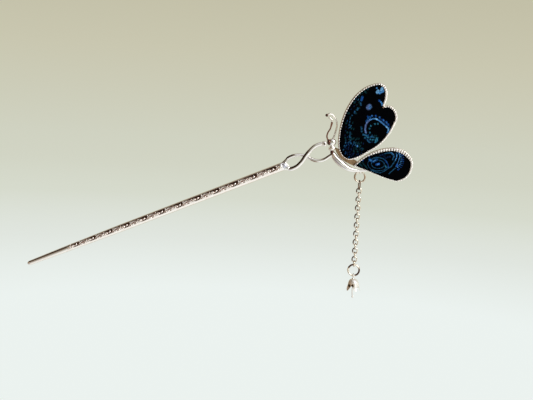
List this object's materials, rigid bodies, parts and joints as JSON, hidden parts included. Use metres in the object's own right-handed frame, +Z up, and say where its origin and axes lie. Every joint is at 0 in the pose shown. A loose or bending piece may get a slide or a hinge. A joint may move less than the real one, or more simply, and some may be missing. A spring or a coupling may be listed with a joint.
{
  "type": "butterfly hair stick",
  "caption": "Slim tapering hair stick with a twisted neck, a side-view butterfly with two cloth-filled wings, and a fine link chain ending in a small bellflower charm.",
  "frame": {"origin": "on the stick's axis at the grip point, where the hair holds it", "axes": "+X towards the butterfly's wings, +Z up with the chain hanging straight down, butterfly in the XZ plane and facing -Y"},
  "size_m": [0.175, 0.0084, 0.1003],
  "materials": {
    "polished_silver": "polished silver plate",
    "cast_silver": "cast silver plate, oxidised in the relief",
    "cut_silver": "milled silver strip, bright teeth",
    "back_silver": "satin silver sheet",
    "printed_cloth": "black cloth printed in blues",
    "pad_felt": "grey felt"
  },
  "bodies": {
    "stick": {"stick_shaft": "cast_silver", "stick_fork": "cast_silver", "neck_strand_over": "polished_silver", "neck_strand_under": "polished_silver", "strand_end_ball": "polished_silver", "butterfly_head": "polished_silver", "thorax": "polished_silver", "abdomen": "polished_silver", "antenna_front": "polished_silver", "antenna_rear": "polished_silver", "chain_eyelet": "polished_silver", "upper_wing_back_plate": "back_silver", "upper_wing_bezel": "cut_silver", "upper_wing_pad": "pad_felt", "upper_wing_cloth": "printed_cloth", "lower_wing_back_plate": "back_silver", "lower_wing_bezel": "cut_silver", "lower_wing_pad": "pad_felt", "lower_wing_cloth": "printed_cloth", "wing_root_web": "back_silver"},
    "upper_jump_ring": {"upper_jump_ring": "polished_silver"},
    "chain_link_01": {"chain_link_01": "polished_silver"},
    "chain_link_02": {"chain_link_02": "polished_silver"},
    "chain_link_03": {"chain_link_03": "polished_silver"},
    "chain_link_04": {"chain_link_04": "polished_silver"},
    "chain_link_05": {"chain_link_05": "polished_silver"},
    "chain_link_06": {"chain_link_06": "polished_silver"},
    "chain_link_07": {"chain_link_07": "polished_silver"},
    "chain_link_08": {"chain_link_08": "polished_silver"},
    "chain_link_09": {"chain_link_09": "polished_silver"},
    "chain_link_10": {"chain_link_10": "polished_silver"},
    "chain_link_11": {"chain_link_11": "polished_silver"},
    "chain_link_12": {"chain_link_12": "polished_silver"},
    "chain_link_13": {"chain_link_13": "polished_silver"},
    "chain_link_14": {"chain_link_14": "polished_silver"},
    "chain_link_15": {"chain_link_15": "polished_silver"},
    "chain_link_16": {"chain_link_16": "polished_silver"},
    "chain_link_17": {"chain_link_17": "polished_silver"},
    "chain_link_18": {"chain_link_18": "polished_silver"},
    "chain_link_19": {"chain_link_19": "polished_silver"},
    "lower_jump_ring": {"lower_jump_ring": "polished_silver"},
    "charm": {"charm_pin": "polished_silver", "bellflower_cap": "polished_silver"}
  },
  "joints": [
    {"name": "upper_jump_ring_swing", "type": "hinge", "parent": "stick", "child": "upper_jump_ring", "pos_m": [0.1099, 0.002, 0.03215], "axis": [0, 1, 0], "range_deg": [-45, 45]},
    {"name": "chain_link_01_swing", "type": "hinge", "parent": "upper_jump_ring", "child": "chain_link_01", "pos_m": [0.1099, 0.002, 0.02821], "axis": [1, 0, 0], "range_deg": [-50, 50]},
    {"name": "chain_link_02_swing", "type": "hinge", "parent": "chain_link_01", "child": "chain_link_02", "pos_m": [0.1099, 0.002, 0.02479], "axis": [0, -1, 0], "range_deg": [-50, 50]},
    {"name": "chain_link_03_swing", "type": "hinge", "parent": "chain_link_02", "child": "chain_link_03", "pos_m": [0.1099, 0.002, 0.02279], "axis": [-1, 0, 0], "range_deg": [-50, 50]},
    {"name": "chain_link_04_swing", "type": "hinge", "parent": "chain_link_03", "child": "chain_link_04", "pos_m": [0.1099, 0.002, 0.02081], "axis": [0, 1, 0], "range_deg": [-50, 50]},
    {"name": "chain_link_05_swing", "type": "hinge", "parent": "chain_link_04", "child": "chain_link_05", "pos_m": [0.1099, 0.002, 0.01881], "axis": [1, 0, 0], "range_deg": [-50, 50]},
    {"name": "chain_link_06_swing", "type": "hinge", "parent": "chain_link_05", "child": "chain_link_06", "pos_m": [0.1099, 0.002, 0.01682], "axis": [0, -1, 0], "range_deg": [-50, 50]},
    {"name": "chain_link_07_swing", "type": "hinge", "parent": "chain_link_06", "child": "chain_link_07", "pos_m": [0.1099, 0.002, 0.01483], "axis": [-1, 0, 0], "range_deg": [-50, 50]},
    {"name": "chain_link_08_swing", "type": "hinge", "parent": "chain_link_07", "child": "chain_link_08", "pos_m": [0.1099, 0.002, 0.01285], "axis": [0, 1, 0], "range_deg": [-50, 50]},
    {"name": "chain_link_09_swing", "type": "hinge", "parent": "chain_link_08", "child": "chain_link_09", "pos_m": [0.1099, 0.002, 0.01086], "axis": [1, 0, 0], "range_deg": [-50, 50]},
    {"name": "chain_link_10_swing", "type": "hinge", "parent": "chain_link_09", "child": "chain_link_10", "pos_m": [0.1099, 0.002, 0.00886], "axis": [0, -1, 0], "range_deg": [-50, 50]},
    {"name": "chain_link_11_swing", "type": "hinge", "parent": "chain_link_10", "child": "chain_link_11", "pos_m": [0.1099, 0.002, 0.00688], "axis": [-1, 0, 0], "range_deg": [-50, 50]},
    {"name": "chain_link_12_swing", "type": "hinge", "parent": "chain_link_11", "child": "chain_link_12", "pos_m": [0.1099, 0.002, 0.00488], "axis": [0, 1, 0], "range_deg": [-50, 50]},
    {"name": "chain_link_13_swing", "type": "hinge", "parent": "chain_link_12", "child": "chain_link_13", "pos_m": [0.1099, 0.002, 0.0029], "axis": [1, 0, 0], "range_deg": [-50, 50]},
    {"name": "chain_link_14_swing", "type": "hinge", "parent": "chain_link_13", "child": "chain_link_14", "pos_m": [0.1099, 0.002, 0.0009], "axis": [0, -1, 0], "range_deg": [-50, 50]},
    {"name": "chain_link_15_swing", "type": "hinge", "parent": "chain_link_14", "child": "chain_link_15", "pos_m": [0.1099, 0.002, -0.00109], "axis": [-1, 0, 0], "range_deg": [-50, 50]},
    {"name": "chain_link_16_swing", "type": "hinge", "parent": "chain_link_15", "child": "chain_link_16", "pos_m": [0.1099, 0.002, -0.00308], "axis": [0, 1, 0], "range_deg": [-50, 50]},
    {"name": "chain_link_17_swing", "type": "hinge", "parent": "chain_link_16", "child": "chain_link_17", "pos_m": [0.1099, 0.002, -0.00507], "axis": [1, 0, 0], "range_deg": [-50, 50]},
    {"name": "chain_link_18_swing", "type": "hinge", "parent": "chain_link_17", "child": "chain_link_18", "pos_m": [0.1099, 0.002, -0.00705], "axis": [0, -1, 0], "range_deg": [-50, 50]},
    {"name": "chain_link_19_swing", "type": "hinge", "parent": "chain_link_18", "child": "chain_link_19", "pos_m": [0.1099, 0.002, -0.00904], "axis": [-1, 0, 0], "range_deg": [-50, 50]},
    {"name": "lower_jump_ring_swing", "type": "hinge", "parent": "chain_link_19", "child": "lower_jump_ring", "pos_m": [0.1099, 0.002, -0.01103], "axis": [0, 1, 0], "range_deg": [-40, 40]},
    {"name": "charm_swing", "type": "hinge", "parent": "lower_jump_ring", "child": "charm", "pos_m": [0.1099, 0.002, -0.01537], "axis": [1, 0, 0], "range_deg": [-60, 60]}
  ]
}
